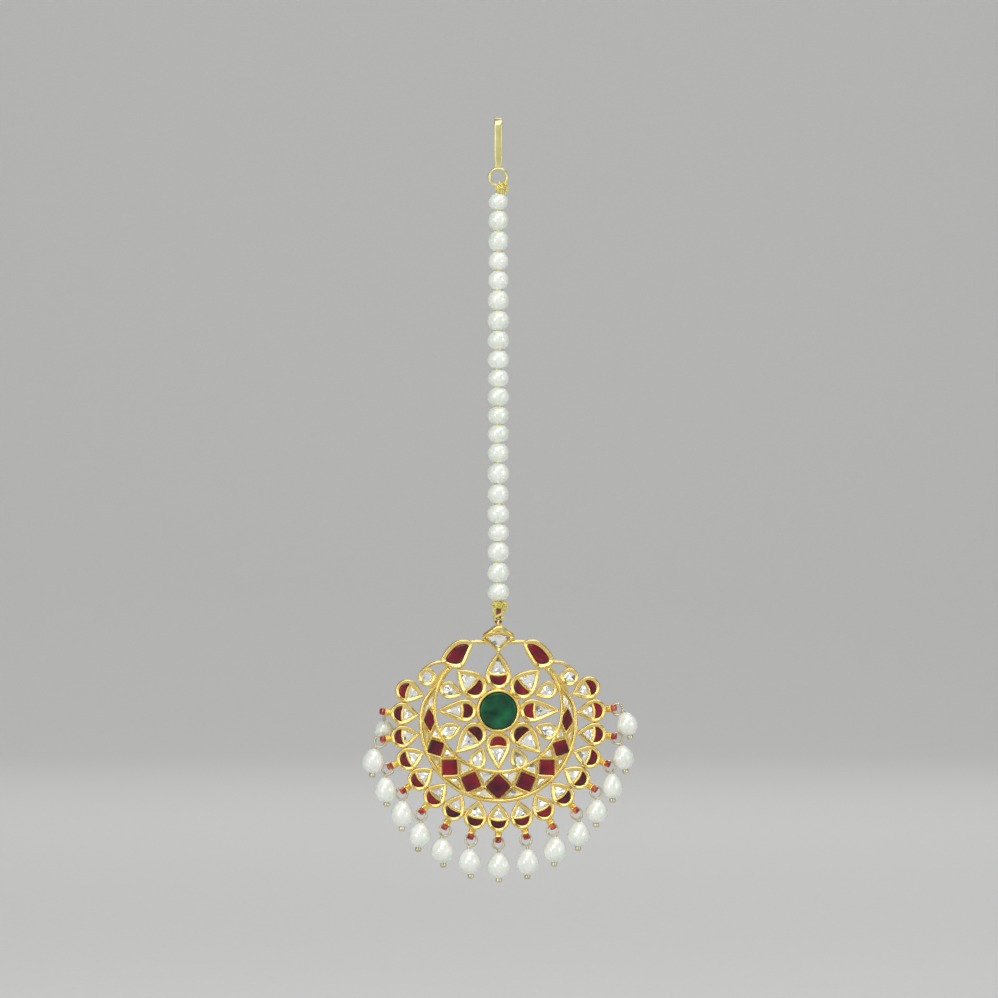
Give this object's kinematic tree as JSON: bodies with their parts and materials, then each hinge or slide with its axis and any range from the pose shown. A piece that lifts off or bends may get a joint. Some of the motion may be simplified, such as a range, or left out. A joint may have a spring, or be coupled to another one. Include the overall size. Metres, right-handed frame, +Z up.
{
  "type": "maang tikka",
  "caption": "Hair ornament: a hook, a string of pearls and a stone-set openwork pendant edged with hanging pearls.",
  "frame": {"origin": "inside top of the hook's bend, where it hangs from the hair", "axes": "+Z up along the hanging string; the stones face -Y; +X to the right seen from the front"},
  "size_m": [0.0575, 0.0073, 0.1605],
  "materials": {
    "gold": "polished, hand-burnished",
    "pale_gold": "satin",
    "thread": "silky",
    "pearl": "nacre lustre",
    "emerald": "polished",
    "ruby": "polished",
    "polki": "polished"
  },
  "bodies": {
    "string": {"hook": "pale_gold", "thread": "thread", "string_pearl_01": "pearl", "string_pearl_02": "pearl", "string_pearl_03": "pearl", "string_pearl_04": "pearl", "string_pearl_05": "pearl", "string_pearl_06": "pearl", "string_pearl_07": "pearl", "string_pearl_08": "pearl", "string_pearl_09": "pearl", "string_pearl_10": "pearl", "string_pearl_11": "pearl", "string_pearl_12": "pearl", "string_pearl_13": "pearl", "string_pearl_14": "pearl", "string_pearl_15": "pearl", "string_pearl_16": "pearl", "string_pearl_17": "pearl", "string_pearl_18": "pearl", "string_pearl_19": "pearl", "string_pearl_20": "pearl", "string_pearl_21": "pearl"},
    "pendant": {"frame": "gold", "emerald": "emerald", "leaf_rubies": "ruby", "petal_rubies": "ruby", "crescent_rubies": "ruby", "rim_rubies": "ruby", "top_polki": "polki", "round_polkis": "polki", "petal_polkis": "polki", "cell_polkis": "polki", "crescent_polkis": "polki", "rim_polkis": "polki", "drop_pins": "pale_gold", "drop_pearl_01": "pearl", "drop_pearl_02": "pearl", "drop_pearl_03": "pearl", "drop_pearl_04": "pearl", "drop_pearl_05": "pearl", "drop_pearl_06": "pearl", "drop_pearl_07": "pearl", "drop_pearl_08": "pearl", "drop_pearl_09": "pearl", "drop_pearl_10": "pearl", "drop_pearl_11": "pearl", "drop_pearl_12": "pearl", "drop_pearl_13": "pearl", "drop_pearl_14": "pearl", "drop_pearl_15": "pearl"}
  },
  "joints": [
    {"name": "pendant_swing", "type": "hinge", "parent": "string", "child": "pendant", "pos_m": [0, -0.00145, -0.10517], "axis": [1, 0, 0], "range_deg": [-75, 75]}
  ]
}
